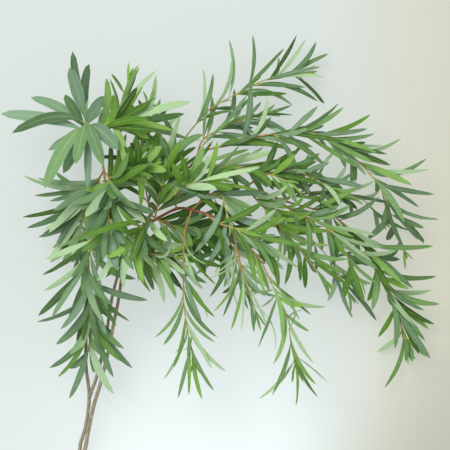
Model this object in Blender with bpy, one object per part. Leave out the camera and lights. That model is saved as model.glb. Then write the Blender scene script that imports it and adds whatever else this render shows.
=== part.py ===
# A cut eucalyptus branch lying on a surface: a forked woody stem and the leafy sprays it carries.
#
# Sizes and places here are in millimetres. In plan, X runs across the branch, Y runs from the
# cut end towards the tips, and the middle of the foliage is near 0, 0. Z is the height above
# the surface that the branch lies on.

import math
import random

import bmesh
import bpy
from mathutils import Matrix, Vector
from mathutils.bvhtree import BVHTree

# Driving dimensions
MM = 0.001
GAP = 0.3
CLEARANCE = 0.45
MERGE_DISTANCE = 0.00001
STUB_LENGTH = 2.6
STUB_SWELL = 1.2
TWIG_ROOT_RADIUS = 1.0
TWIG_TIP_RADIUS = 0.6
LIMB_STEPS = 8
LEAF_LENGTH = 54
LEAF_THICKNESS = 0.65
LEAF_SPACING = 7
PLACE_SPACING = 2
LOWEST_TIP = -9
HIGHEST_TIP = 118

# How leaves stand: they leave the twig forwards at an angle, one turn after another round it,
# and get shorter towards its end
LEAF_ANGLE = math.radians(38)
LEAF_TURN = math.radians(137.5)
LEAF_FOLLOW = 0.4
FIRST_FILL = 0.6
END_SHORTENING = 0.45
FORWARD_LEAN = 0.75
LEAN_COST = 40
CROWDING_COST = 1.5

# How leaves differ: lengths and widths as shares, drops in millimetres and rolls in radians
LEAF_SEED = 7
DROP_RANGE = (-13, 3)
SWAY_RANGE = (-0.12, 0.12)
ARCH_RANGE = (-0.02, 0.1)
ROLL_RANGE = (-0.9, 0.9)
LENGTH_RANGE = (0.66, 1.12)
WIDTH_RANGE = (0.75, 1.15)
TIP_SAG = 6

# A leaf that would touch another is lifted or turned, step by step
ATTEMPTS = 14
LIFT_STEP = 5
TURN_STEP = 0.35

# Half-width of a leaf, as a share of its full half-width, at each share of its length
LANCE_FORM = ((0.0, 0.12), (0.34, 0.86), (0.72, 0.94), (1.0, 0.2))
BLUNT_FORM = ((0.0, 0.08), (0.25, 0.62), (0.58, 1.0), (0.86, 0.82), (1.0, 0.3))
SHELL_START = 0.14

# Bare wood: the radius at each end and the places it passes through
LIMBS = {
    "lower_stem": (3.1, 2.7, ((-172, -330, 2.69), (-160, -294, 4.5), (-151, -262, 8), (-147, -240, 11))),
    "left_limb": (1.95, 1.05, (
        (-148, -244, 11), (-148, -225, 13), (-142, -205, 17), (-138, -174, 24), (-141, -141, 31),
        (-140, -105, 36), (-137, -75, 42), (-128, -40, 48), (-117, -12, 53), (-115, 7, 57),
        (-117, 21, 60), (-119, 36, 63), (-121, 54, 66), (-124, 71, 70), (-133, 83, 74))),
    "middle_limb": (1.8, 1.1, (
        (-138, -176, 24), (-129, -150, 31), (-123, -125, 37), (-119, -105, 40), (-112, -65, 44),
        (-98, -25, 46), (-75, 10, 48), (-50, 40, 50), (-30, 65, 52), (-20, 75, 54))),
    "right_limb": (2.15, 1.15, (
        (-147, -244, 11), (-142, -225, 18), (-139, -209, 23), (-133, -183, 31), (-125, -157, 39),
        (-117, -125, 47), (-112, -100, 51), (-107, -76, 55), (-103, -50, 60), (-96, -14, 68),
        (-89, -5, 72), (-70, 5, 76), (-48, 16, 80), (-33, 15, 84), (-11, 8, 88), (3, -1, 92),
        (9, -9, 94))),
    "far_limb": (1.35, 1.1, ((-50, 40, 50), (-20, 42, 49), (20, 38, 49), (60, 24, 50))),
}

# Each spray has the route of its twig, from a limb outwards, the plan places of the leaf tips
# that stand out in its outline, and the number of further leaves that fill it
SPRAYS = {
    "spray_far_left": {
        "route": ((-117, -12, 53), (-126, -10, 60), (-133, -15, 64), (-135, -27, 66), (-138, -41, 66),
                  (-135, -55, 64), (-135, -75, 60), (-136, -94, 54), (-137, -123, 46), (-139, -130, 44)),
        "tips": ((-183, -50), (-182, -66), (-187, -91), (-188, -97), (-177, -144), (-167, -152),
                 (-157, -175), (-112, -170), (-112, -153), (-93, -144), (-77, -75), (-89, -54),
                 (-101, -124), (-150, -119)),
        "fill": 2, "width": 7.4, "long": 1.1},
    "spray_left": {
        "route": ((-121, 54, 66), (-130, 40, 57), (-140, 20, 46), (-146, -5, 31), (-148, -25, 17)),
        "tips": ((-204, 8), (-200, -3), (-178, -35), (-182, -5), (-188, 47), (-203, 50)),
        "fill": 3, "width": 7.2, "long": 1.25},
    "spray_rosette": {
        "route": ((-133, 83, 74), (-136, 92, 78), (-137, 103, 82)),
        "tips": ((-151, 172), (-136, 161), (-153, 155), (-159, 130), (-195, 128), (-224, 111),
                 (-211, 91), (-177, 75), (-179, 36), (-147, 60), (-136, 36)),
        "fill": 1, "width": 13.0, "blunt": True},
    "spray_rosette_right": {
        "route": ((-128, 77, 72), (-128, 88, 80), (-121, 97, 85), (-110, 101, 87), (-97, 102, 87)),
        "tips": ((-75, 118), (-40, 110), (-58, 73), (-112, 129), (-94, 126), (-34, 122), (-98, 55),
                 (-66, 92)),
        "fill": 2, "width": 8.6, "long": 1.25},
    "spray_top_left": {
        "route": ((-119, 36, 63), (-108, 52, 69), (-107, 75, 69), (-106, 100, 66), (-104, 122, 61),
                  (-98, 143, 55)),
        "tips": ((-115, 146), (-128, 127), (-86, 158), (-78, 156), (-69, 155), (-82, 139),
                 (-68, 127), (-90, 150)),
        "fill": 1, "width": 4.2},
    "spray_top_middle": {
        "route": ((-75, 10, 48), (-80, 40, 53), (-84, 75, 55), (-82, 98, 52), (-78, 118, 48)),
        "tips": ((-65, 127), (-52, 124), (-70, 152), (-45, 112)),
        "fill": 3, "width": 5.0},
    "spray_upper_right": {
        "route": ((-50, 40, 50), (-52, 62, 51), (-44, 81, 50), (-33, 97, 48), (-16, 116, 44), (3, 128, 40),
                  (14, 134, 37), (38, 146, 31), (56, 149, 27), (64, 153, 24), (77, 155, 20)),
        "tips": ((4, 188), (28, 192), (7, 169), (59, 177), (73, 193), (82, 189), (93, 187),
                 (106, 175), (97, 160), (100, 150), (105, 120, -3), (94, 125), (81, 139), (63, 133),
                 (-22, 157), (-12, 152), (68, 122)),
        "fill": 1, "width": 4.6},
    "spray_upper_back": {
        "route": ((-30, 65, 52), (-22, 86, 48), (-4, 97, 43), (18, 107, 38), (38, 112, 33)),
        "tips": ((68, 111), (68, 122), (0, 136, -3), (30, 133)),
        "fill": 4, "width": 4.6},
    "spray_right_top": {
        "route": ((-20, 75, 54), (-3, 79, 58), (16, 84, 62), (41, 90, 66), (62, 91, 66), (91, 91, 64),
                  (115, 77, 60), (129, 68, 56), (144, 53, 50), (157, 37, 44), (165, 21, 38),
                  (168, 11, 34), (175, -10, 26), (182, -25, 20)),
        "tips": ((113, 121), (119, 118), (146, 111), (142, 96), (149, 91), (177, 87), (162, 71),
                 (203, 67), (205, 56), (187, 40), (210, 31), (197, 18), (215, 6), (180, 2),
                 (99, 60), (141, 50), (208, -21, -3), (180, -24), (195, -15), (130, 58)),
        "fill": 2, "width": 6.2, "long": 1.1},
    "spray_crown_middle": {
        "route": ((-30, 65, 52), (-12, 60, 63), (12, 57, 72), (38, 52, 77), (60, 44, 78)),
        "tips": ((76, 62), (98, 40), (52, 74)),
        "fill": 4, "width": 6.0},
    "spray_crown_right": {
        "route": ((22, 38, 49), (40, 50, 58), (62, 56, 64), (86, 48, 68), (104, 38, 66)),
        "tips": ((139, 38), (134, 24), (95, 72)),
        "fill": 4, "width": 5.8},
    "spray_crown_left": {
        "route": ((-70, 5, 76), (-66, 22, 86), (-60, 45, 93), (-54, 68, 97)),
        "tips": ((-44, 108), (-80, 86), (-25, 70)),
        "fill": 4, "width": 7.0, "long": 1.25},
    "spray_inner_left": {
        "route": ((-121, 54, 66), (-115, 46, 76), (-114, 30, 84), (-115, 12, 88), (-113, -4, 89),
                  (-110, -22, 88)),
        "tips": ((-139, 35), (-127, -44), (-95, -40), (-133, -6), (-88, 6), (-141, 2), (-84, -22)),
        "fill": 4, "width": 8.4, "long": 1.3},
    "spray_middle_left": {
        "route": ((-117, 21, 60), (-116, 34, 72), (-108, 46, 84), (-94, 54, 92), (-78, 58, 96)),
        "tips": ((-40, 49), (-57, 73), (-66, 92), (-62, 30), (-98, 92), (-84, 18), (-46, 62)),
        "fill": 5, "width": 8.0, "long": 1.35},
    "spray_middle": {
        "route": ((-48, 16, 80), (-50, 26, 90), (-43, 36, 99), (-30, 42, 104), (-14, 44, 107)),
        "tips": ((-12, 84), (14, 78), (34, 56), (-30, 86, 120), (-6, 12), (32, 34)),
        "fill": 5, "width": 7.4, "long": 1.25},
    "spray_middle_low": {
        "route": ((-68, 6, 76), (-75, 4, 87), (-82, -2, 93), (-88, -10, 96), (-92, -18, 97)),
        "tips": ((-118, -52), (-100, -62), (-80, -60), (-62, -48), (-132, -30), (-50, -32), (-138, -12)),
        "fill": 5, "width": 7.4, "long": 1.2},
    "spray_middle_right": {
        "route": ((-18, 10, 86), (-8, 2, 96), (6, -2, 102), (22, -8, 104), (36, -18, 103)),
        "tips": ((72, -42), (52, -62), (80, -20), (60, 8), (30, -56)),
        "fill": 4, "width": 6.5},
    "spray_low_inner": {
        "route": ((-97, -20, 67), (-86, -24, 76), (-74, -28, 82), (-60, -30, 85), (-46, -32, 86)),
        "tips": ((-2, -42), (-18, -58), (-42, -66), (-8, -28), (-64, -64), (-30, -50)),
        "fill": 4, "width": 6.5, "long": 1.15},
    "spray_low_back": {
        "route": ((-75, 10, 48), (-64, 4, 56), (-50, 0, 62), (-34, -3, 65), (-18, -6, 65)),
        "tips": ((22, -28), (-2, -38), (26, 0), (-28, -34), (2, 22)),
        "fill": 5, "width": 7.0, "long": 1.25},
    "spray_centre": {
        "route": ((-33, 15, 84), (-17, 29, 91), (-4, 31, 96), (0, 18, 99), (3, 8, 100)),
        "tips": ((52, 3), (43, 32), (15, 37), (-44, 56), (-53, 40), (-1, 62), (-30, -27),
                 (-17, -37), (30, 14)),
        "fill": 1, "width": 6.6},
    "spray_front_left": {
        "route": ((-33, 15, 84), (-38, 0, 87), (-40, -11, 89), (-41, -38, 89), (-41, -75, 84),
                  (-37, -106, 76), (-33, -127, 68), (-31, -136, 62)),
        "tips": ((-70, -112), (-61, -119), (-51, -142), (-61, -154), (-47, -173), (-36, -169),
                 (-23, -174), (-11, -165), (1, -146), (-13, -143), (-10, -116), (-8, -111),
                 (-10, -91), (-23, -95)),
        "fill": 2, "width": 4.2},
    "spray_front_middle": {
        "route": ((9, -9, 94), (11, -20, 93), (15, -37, 92), (19, -52, 90), (24, -66, 86), (30, -84, 80)),
        "tips": ((6, -104), (16, -104), (-2, -91), (23, -84), (-11, -85), (42, -100)),
        "fill": 2, "width": 3.4},
    "spray_front_right": {
        "route": ((9, -9, 94), (16, -14, 96), (25, -23, 98), (35, -35, 98), (47, -60, 96), (56, -78, 92),
                  (63, -95, 86), (65, -115, 78), (70, -138, 66)),
        "tips": ((99, -81), (73, -93), (85, -89), (87, -136), (90, -158), (92, -171), (71, -180),
                 (47, -169), (34, -174), (48, -137), (33, -120), (56, -110)),
        "fill": 1, "width": 4.6},
    "spray_under_middle": {
        "route": ((-20, 42, 49), (-10, 15, 56), (4, -15, 60), (14, -40, 57), (18, -62, 50)),
        "tips": ((-15, -72), (28, -92), (-30, -50)),
        "fill": 4, "width": 5.6},
    "spray_under_right": {
        "route": ((22, 38, 49), (44, 12, 60), (64, -12, 68), (84, -36, 68), (98, -54, 62)),
        "tips": ((127, -64), (122, -34), (118, -48), (60, -60)),
        "fill": 4, "width": 6.0},
    "spray_right_low": {
        "route": ((48, 28, 50), (66, 15, 63), (89, 4, 67), (109, -8, 67), (117, -21, 63), (122, -31, 59),
                  (134, -52, 50)),
        "tips": ((160, -22), (172, -26), (150, -10), (155, -60), (140, -78)),
        "fill": 3, "width": 5.6},
    "spray_right_middle": {
        "route": ((60, 24, 50), (82, 18, 51), (104, 11, 52), (121, 0, 51), (130, -9, 49), (142, -19, 46),
                  (148, -31, 42), (156, -46, 37), (163, -61, 31), (175, -88, 21), (187, -124, 9)),
        "tips": ((209, -21), (173, -26), (214, -52), (218, -80), (201, -86), (213, -101),
                 (208, -106), (211, -124, -14), (209, -144, -16), (201, -150, -16), (173, -126), (163, -166)),
        "fill": 3, "width": 6.4, "long": 1.1},
    "spray_right_back": {
        "route": ((54, 26, 50), (88, 33, 45), (115, 33, 41), (140, 25, 35), (158, 8, 28)),
        "tips": ((188, -6), (170, 22), (150, 44)),
        "fill": 4, "width": 5.2},
    "spray_right_under": {
        "route": ((35, 34, 50), (58, 8, 42), (85, -12, 36), (110, -40, 29), (124, -66, 21)),
        "tips": ((140, -78), (155, -98), (130, -95), (150, -60)),
        "fill": 3, "width": 5.0},
}


def clear_scene():
    for scene_object in list(bpy.data.objects):
        bpy.data.objects.remove(scene_object, do_unlink=True)


def smooth_line(points, steps):
    # Catmull-Rom curve through the points, with this many steps between two of them
    places = [Vector(point) for point in points]
    padded = [2 * places[0] - places[1], *places, 2 * places[-1] - places[-2]]
    line = []
    for a, b, c, d in zip(padded, padded[1:], padded[2:], padded[3:]):
        for step in range(steps):
            t = step / steps
            line.append(0.5 * (2 * b + (c - a) * t + (2 * a - 5 * b + 4 * c - d) * t ** 2
                               + (3 * b - a - 3 * c + d) * t ** 3))
    return line + [places[-1]]


def taper(count, start, end):
    return [start + (end - start) * index / (count - 1) for index in range(count)]


def limb_places():
    # Close places along every limb, each with the limb's heading and radius there
    places = []
    for start, end, route in LIMBS.values():
        line = smooth_line(route, LIMB_STEPS)
        for place, following, radius in zip(line, line[1:], taper(len(line), start, end)):
            places.append({"place": following, "heading": (following - place).normalized(),
                           "radius": radius, "is_end": following == line[-1]})
    return places


def twig_root(route, places):
    # The nearest place on a limb, the twig's heading, and how far its stub has to stand out
    root = min(places, key=lambda entry: (entry["place"] - Vector(route[0])).length)
    heading = (Vector(route[1]) - root["place"]).normalized()
    slant = heading.angle(root["heading"])
    length = TWIG_ROOT_RADIUS + STUB_LENGTH
    if not root["is_end"]:
        clear = root["radius"] + TWIG_ROOT_RADIUS * STUB_SWELL * abs(math.cos(slant)) + GAP
        length = max(length, clear / math.sin(slant))
    return {"place": root["place"], "heading": heading, "length": length}


def twig_line(spray, root):
    # The twig starts just clear of its stub's end
    start = root["place"] + root["heading"] * (root["length"] + GAP)
    return smooth_line((start, *spray["route"][1:]), 1)


def leaf_places(line):
    # Places along the twig where a leaf can grow, each with the twig's heading there
    places = []
    for start, end in zip(line, line[1:]):
        heading = (end - start).normalized()
        steps = max(1, round((end - start).length / PLACE_SPACING))
        places += [(start.lerp(end, (step + 1) / steps), heading) for step in range(steps)]
    return places[2:-1]


def place_for_tip(places, tip, used, length):
    # A leaf of this length reaches its tip from here, leans forward along the twig and
    # keeps a little way from the leaves before it
    def cost(place):
        reach = Vector(tip[:2]) - place[0].xy
        lean = reach.normalized().dot(place[1].xy.normalized())
        crowding = sum(max(0, LEAF_SPACING - (place[0] - other).length) for other in used)
        return abs(reach.length - length) + LEAN_COST * max(0, FORWARD_LEAN - lean) + CROWDING_COST * crowding
    chosen = min(places, key=cost)
    used.append(chosen[0])
    return chosen


def leaf_bend(base, tip, heading, sway, arch):
    # Middle control place of the leaf's curve: it leaves its twig forwards and curves out
    along = tip - base
    sideways = along.cross(Vector((0, 0, 1))).normalized()
    forwards = heading * along.length / 2 - along / 2
    offset = sideways * along.length * sway + Vector((0, 0, along.length * arch))
    return base.lerp(tip, 0.5) + forwards * LEAF_FOLLOW + offset


def blade(leaf, form, grow=0.0):
    # A leaf as a closed strip of even thickness, bent along its curve and rolled about it
    shape = bmesh.new()
    bmesh.ops.create_grid(shape, x_segments=len(form) - 1, y_segments=1, size=0.5)
    bmesh.ops.triangulate(shape, faces=shape.faces[:])
    lower = set(shape.verts)
    bmesh.ops.extrude_face_region(shape, geom=shape.faces[:])
    base, bend, tip = leaf["base"], leaf["bend"], leaf["tip"]
    for vertex in shape.verts:
        t, share = form[round((vertex.co.x + 0.5) * (len(form) - 1))]
        side = 1 if vertex.co.y > 0 else -1
        centre = base * (1 - t) ** 2 + bend * 2 * t * (1 - t) + tip * t ** 2
        heading = ((bend - base) * (1 - t) + (tip - bend) * t).normalized()
        across = Matrix.Rotation(leaf["roll"], 3, heading) @ heading.cross(Vector((0, 0, 1))).normalized()
        face = across.cross(heading)
        height = -(LEAF_THICKNESS / 2 + grow) if vertex in lower else LEAF_THICKNESS / 2 + grow
        vertex.co = centre + across * side * (leaf["width"] / 2 * share + grow) + face * height
        vertex.co.z = max(vertex.co.z, 0 if vertex in lower else LEAF_THICKNESS + grow)
    bmesh.ops.triangulate(shape, faces=shape.faces[:])
    bmesh.ops.recalc_face_normals(shape, faces=shape.faces[:])
    return shape


def shell(shape, owner):
    # The surface of a piece and its box, to test what it touches
    low = [min(vertex.co[axis] for vertex in shape.verts) for axis in range(3)]
    high = [max(vertex.co[axis] for vertex in shape.verts) for axis in range(3)]
    tree = BVHTree.FromBMesh(shape)
    shape.free()
    return {"owner": owner, "tree": tree, "low": low, "high": high}


def tube_shell(line, radii, owner):
    # A plain square tube round a line
    shape = bmesh.new()
    for start, end, radius in zip(line, line[1:], radii):
        middle = start.lerp(end, 0.5)
        turn = (end - start).to_track_quat("Z", "Y").to_matrix().to_4x4()
        size = Matrix.Diagonal((radius * 2, radius * 2, (end - start).length + radius, 1))
        bmesh.ops.create_cube(shape, size=1, matrix=Matrix.Translation(middle) @ turn @ size)
    return shell(shape, owner)


def wood_shells(roots, twigs):
    shells = []
    for start, end, route in LIMBS.values():
        line = smooth_line(route, 1)
        shells.append(tube_shell(line, taper(len(line), start, end), "woody_stem"))
    for root in roots.values():
        shells.append(tube_shell(stub_line(root), [TWIG_ROOT_RADIUS * STUB_SWELL], "woody_stem"))
    for name, line in twigs.items():
        radii = taper(len(line), TWIG_ROOT_RADIUS, TWIG_TIP_RADIUS)
        shells.append({**tube_shell(line, radii, name), "twig": True})
    return shells


def touches(first, second):
    apart = any(first["low"][axis] > second["high"][axis] or second["low"][axis] > first["high"][axis]
                for axis in range(3))
    return not apart and bool(first["tree"].overlap(second["tree"]))


def cut_form(form):
    # The same leaf without its root, which stays near the twig
    return ((SHELL_START, form[0][1]), *form[1:])


def leaf_is_free(leaf, form, owner, shells):
    whole = shell(blade(leaf, form, CLEARANCE), owner)
    outer = shell(blade(leaf, cut_form(form), CLEARANCE), owner)
    return not any(touches(outer if other["owner"] == owner else whole, other) for other in shells
                   if not (other["owner"] == owner and other.get("twig")))


def grow_leaves(name, spray, line, shells, draw):
    form = BLUNT_FORM if spray.get("blunt") else LANCE_FORM
    places = leaf_places(line)
    used = []
    long = spray.get("long", 1)
    wishes = [(*place_for_tip(places, tip, used, LEAF_LENGTH * long), tip, long)
              for tip in spray["tips"]]
    for number in range(spray["fill"]):
        index = round((number + FIRST_FILL) / spray["fill"] * (len(places) - 1))
        wishes.append((*places[index], None, long * (1 - END_SHORTENING * index / len(places))))
    leaves = []
    for number, (base, heading, tip, reach) in enumerate(wishes):
        drop = draw.uniform(*DROP_RANGE)
        sway = draw.uniform(*SWAY_RANGE)
        arch = draw.uniform(*ARCH_RANGE)
        roll = draw.uniform(*ROLL_RANGE)
        length = LEAF_LENGTH * reach * draw.uniform(*LENGTH_RANGE)
        width = spray["width"] * draw.uniform(*WIDTH_RANGE)
        for attempt in range(ATTEMPTS):
            shift = (attempt + 1) // 2 * (1 if attempt % 2 else -1)
            if tip:
                end = Vector((*tip, max(LOWEST_TIP, base.z + drop + LIFT_STEP * shift))[:3])
            else:
                outwards = Matrix.Rotation(number * LEAF_TURN + TURN_STEP * shift, 3, heading)
                outwards = outwards @ heading.orthogonal().normalized()
                end = base + (heading * math.cos(LEAF_ANGLE) + outwards * math.sin(LEAF_ANGLE)) * length
                end.z = min(HIGHEST_TIP, max(LOWEST_TIP, end.z - TIP_SAG))
            leaf = {"base": base, "tip": end, "bend": leaf_bend(base, end, heading, sway, arch),
                    "roll": roll, "width": width}
            if leaf_is_free(leaf, form, name, shells):
                leaves.append(leaf)
                shells.append(shell(blade(leaf, form), name))
                break
    return leaves, form


def material(name, colour, roughness):
    new_material = bpy.data.materials.new(name)
    new_material.use_nodes = True
    surface = new_material.node_tree.nodes["Principled BSDF"]
    surface.inputs["Base Color"].default_value = (*colour, 1)
    surface.inputs["Roughness"].default_value = roughness
    surface.inputs["Metallic"].default_value = 0
    return new_material


def add_object(name, mesh, collection):
    new_object = bpy.data.objects.new(name, mesh)
    collection.objects.link(new_object)
    return new_object


def tube(name, line, radii, sides_level, collection):
    # A tapered tube along the line, closed at both ends
    curve = bpy.data.curves.new(name, "CURVE")
    curve.dimensions = "3D"
    curve.bevel_depth = MM
    curve.bevel_resolution = sides_level
    curve.use_fill_caps = True
    spline = curve.splines.new("POLY")
    spline.points.add(len(line) - 1)
    for point, place, radius in zip(spline.points, line, radii):
        point.co = (*(place * MM), 1)
        point.radius = radius
    guide = add_object(name + "_guide", curve, collection)
    bpy.context.view_layer.update()
    mesh = bpy.data.meshes.new_from_object(guide.evaluated_get(bpy.context.evaluated_depsgraph_get()))
    bpy.data.objects.remove(guide)
    bpy.data.curves.remove(curve)
    shape = bmesh.new()
    shape.from_mesh(mesh)
    bmesh.ops.remove_doubles(shape, verts=shape.verts[:], dist=MERGE_DISTANCE)
    bmesh.ops.recalc_face_normals(shape, faces=shape.faces[:])
    shape.to_mesh(mesh)
    shape.free()
    mesh.name = name
    return add_object(name, mesh, collection)


def leaf_object(name, leaf, form, collection):
    shape = blade(leaf, form)
    bmesh.ops.scale(shape, vec=(MM, MM, MM), verts=shape.verts[:])
    mesh = bpy.data.meshes.new(name)
    shape.to_mesh(mesh)
    shape.free()
    return add_object(name, mesh, collection)


def fuse(core, pieces, surface):
    # One union joins the pieces to the core, and the pieces are then removed
    union = core.modifiers.new("fuse", "BOOLEAN")
    union.operation = "UNION"
    union.solver = "EXACT"
    union.operand_type = "COLLECTION"
    union.collection = pieces
    bpy.context.view_layer.update()
    evaluated = core.evaluated_get(bpy.context.evaluated_depsgraph_get())
    mesh = bpy.data.meshes.new_from_object(evaluated)
    core.modifiers.clear()
    core.data = mesh
    for piece in list(pieces.objects):
        bpy.data.objects.remove(piece, do_unlink=True)
    bpy.data.collections.remove(pieces)
    mesh.name = core.name
    mesh.materials.clear()
    mesh.materials.append(surface)
    for polygon in mesh.polygons:
        polygon.use_smooth = True
        polygon.material_index = 0


def piece_collection():
    pieces = bpy.data.collections.new("pieces")
    bpy.context.scene.collection.children.link(pieces)
    return pieces


def stub_line(root):
    return [root["place"], root["place"] + root["heading"] * root["length"]]


def build_wood(roots, surface, branch):
    (_, (start, end, route)), *others = LIMBS.items()
    line = smooth_line(route, 1)
    wood = tube("woody_stem", line, taper(len(line), start, end), 1, branch)
    pieces = piece_collection()
    for name, (start, end, route) in others:
        line = smooth_line(route, 1)
        tube(name, line, taper(len(line), start, end), 1, pieces)
    for root in roots.values():
        tube("stub", stub_line(root), [TWIG_ROOT_RADIUS * STUB_SWELL] * 2, 0, pieces)
    fuse(wood, pieces, surface)
    return wood


def build_spray(name, line, leaves, form, surface, branch):
    spray = tube(name, line, taper(len(line), TWIG_ROOT_RADIUS, TWIG_TIP_RADIUS), 0, branch)
    pieces = piece_collection()
    for leaf in leaves:
        leaf_object("leaf", leaf, form, pieces)
    fuse(spray, pieces, surface)
    return spray


def move_to_origin(pieces):
    # The middle of the box's bottom becomes the origin
    corners = [vertex.co for piece in pieces for vertex in piece.data.vertices]
    low = Vector([min(corner[axis] for corner in corners) for axis in range(3)])
    high = Vector([max(corner[axis] for corner in corners) for axis in range(3)])
    shift = Vector((-(low.x + high.x) / 2, -(low.y + high.y) / 2, -low.z))
    for piece in pieces:
        piece.data.transform(Matrix.Translation(shift))


def main():
    clear_scene()
    branch = bpy.data.collections.new("eucalyptus_branch")
    bpy.context.scene.collection.children.link(branch)
    bark = material("stem_bark", (0.21, 0.15, 0.09), 0.75)
    green = material("leaf_green", (0.10, 0.22, 0.045), 0.5)
    blue_green = material("leaf_blue_green", (0.17, 0.33, 0.22), 0.55)

    places = limb_places()
    roots = {name: twig_root(spray["route"], places) for name, spray in SPRAYS.items()}
    twigs = {name: twig_line(spray, roots[name]) for name, spray in SPRAYS.items()}
    shells = wood_shells(roots, twigs)
    draw = random.Random(LEAF_SEED)
    pieces = [build_wood(roots, bark, branch)]
    for name, spray in SPRAYS.items():
        leaves, form = grow_leaves(name, spray, twigs[name], shells, draw)
        surface = blue_green if name in ("spray_rosette", "spray_centre") else green
        pieces.append(build_spray(name, twigs[name], leaves, form, surface, branch))
        print(name, len(leaves), "leaves", len(pieces[-1].data.polygons), "faces")
    move_to_origin(pieces)


main()
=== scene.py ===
import math
import random

import bmesh
import bpy
from mathutils import Matrix, Vector, noise
from mathutils.bvhtree import BVHTree


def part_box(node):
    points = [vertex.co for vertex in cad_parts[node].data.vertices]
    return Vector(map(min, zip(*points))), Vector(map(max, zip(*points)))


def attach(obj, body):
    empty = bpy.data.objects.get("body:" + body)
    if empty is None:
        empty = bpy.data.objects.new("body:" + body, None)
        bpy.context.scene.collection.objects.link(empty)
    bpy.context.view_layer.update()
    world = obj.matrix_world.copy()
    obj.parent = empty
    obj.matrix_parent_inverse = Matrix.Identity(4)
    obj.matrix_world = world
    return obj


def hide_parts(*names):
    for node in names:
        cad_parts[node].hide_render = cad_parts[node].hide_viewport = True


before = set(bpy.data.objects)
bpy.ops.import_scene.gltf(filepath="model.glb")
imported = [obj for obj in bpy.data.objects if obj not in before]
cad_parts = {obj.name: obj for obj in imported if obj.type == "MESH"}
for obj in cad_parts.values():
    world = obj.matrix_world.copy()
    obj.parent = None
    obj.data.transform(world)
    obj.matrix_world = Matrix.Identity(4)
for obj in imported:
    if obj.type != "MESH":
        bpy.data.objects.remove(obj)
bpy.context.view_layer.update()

# Sizes that the twigs and leaves share, in millimetres
growth = {
    "millimetre": 0.001,
    "gap": 0.3,
    "clearance": 0.45,
    "stubLength": 2.6,
    "stubSwell": 1.2,
    "twigRootRadius": 1.0,
    "twigTipRadius": 0.6,
    "limbSteps": 8,
    "leafLength": 54,
    "leafThickness": 0.65,
    "leafSpacing": 7,
    "placeSpacing": 2,
    "lowestTip": -9,
    "highestTip": 118,
    "shellStart": 0.14,
}

# How a leaf grows from its twig. Pairs are the ends of a random draw. A place on the twig costs
# more for a tip that lies backwards from it, or where another leaf grows near
leafRule = {
    "seed": 7,
    "angle": math.radians(38),
    "turn": math.radians(137.5),
    "follow": 0.4,
    "firstFill": 0.6,
    "endShortening": 0.45,
    "forwardLean": 0.75,
    "leanCost": 40,
    "crowdingCost": 1.5,
    "drop": (-13, 3),
    "sway": (-0.12, 0.12),
    "arch": (-0.02, 0.1),
    "roll": (-0.9, 0.9),
    "length": (0.66, 1.12),
    "width": (0.75, 1.15),
    "tipSag": 6,
    "attempts": 14,
    "liftStep": 5,
    "turnStep": 0.35,
}

# Half-width of a plain leaf at each share of its length, for the rule that keeps leaves apart
plainLance = ((0.0, 0.12), (0.34, 0.86), (0.72, 0.94), (1.0, 0.2))
plainBlunt = ((0.0, 0.08), (0.25, 0.62), (0.58, 1.0), (0.86, 0.82), (1.0, 0.3))

# Bare wood: the radius at each end and the places it passes through
limbs = {
    "lower_stem": (3.1, 2.7, ((-172, -330, 2.69), (-160, -294, 4.5), (-151, -262, 8), (-147, -240, 11))),
    "left_limb": (1.95, 1.05, (
        (-148, -244, 11), (-148, -225, 13), (-142, -205, 17), (-138, -174, 24), (-141, -141, 31),
        (-140, -105, 36), (-137, -75, 42), (-128, -40, 48), (-117, -12, 53), (-115, 7, 57),
        (-117, 21, 60), (-119, 36, 63), (-121, 54, 66), (-124, 71, 70), (-133, 83, 74))),
    "middle_limb": (1.8, 1.1, (
        (-138, -176, 24), (-129, -150, 31), (-123, -125, 37), (-119, -105, 40), (-112, -65, 44),
        (-98, -25, 46), (-75, 10, 48), (-50, 40, 50), (-30, 65, 52), (-20, 75, 54))),
    "right_limb": (2.15, 1.15, (
        (-147, -244, 11), (-142, -225, 18), (-139, -209, 23), (-133, -183, 31), (-125, -157, 39),
        (-117, -125, 47), (-112, -100, 51), (-107, -76, 55), (-103, -50, 60), (-96, -14, 68),
        (-89, -5, 72), (-70, 5, 76), (-48, 16, 80), (-33, 15, 84), (-11, 8, 88), (3, -1, 92),
        (9, -9, 94))),
    "far_limb": (1.35, 1.1, ((-50, 40, 50), (-20, 42, 49), (20, 38, 49), (60, 24, 50))),
}

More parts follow.
